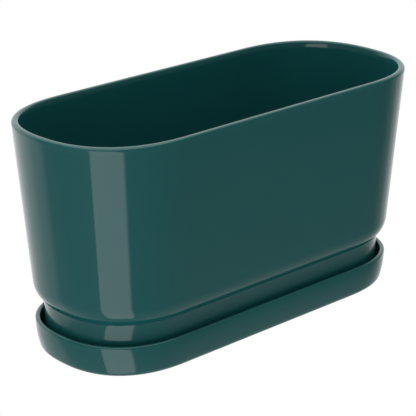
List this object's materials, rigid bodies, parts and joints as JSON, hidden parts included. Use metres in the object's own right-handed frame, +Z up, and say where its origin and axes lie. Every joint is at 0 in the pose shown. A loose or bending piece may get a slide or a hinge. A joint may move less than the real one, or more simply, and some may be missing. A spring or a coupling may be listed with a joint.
{
  "type": "oblong planter with drip saucer",
  "caption": "Oblong glazed ceramic planter with round ends, leaning walls and a stepped-in foot that stands in a shallow drip saucer.",
  "frame": {"origin": "centre of the face that the saucer stands on", "axes": "+X along the planter, +Y across it, +Z up"},
  "size_m": [0.305, 0.127, 0.1573],
  "materials": {
    "teal_glaze": "glossy dark teal glaze over cast stoneware, bare clay where the foot rings stand"
  },
  "bodies": {
    "saucer": {"drip_saucer": "teal_glaze"},
    "pot": {"planter_pot": "teal_glaze"}
  },
  "joints": [
    {"name": "pot_lift", "type": "slide", "parent": "saucer", "child": "pot", "axis": [0, 0, 1], "range_m": [0, 0.06]}
  ]
}
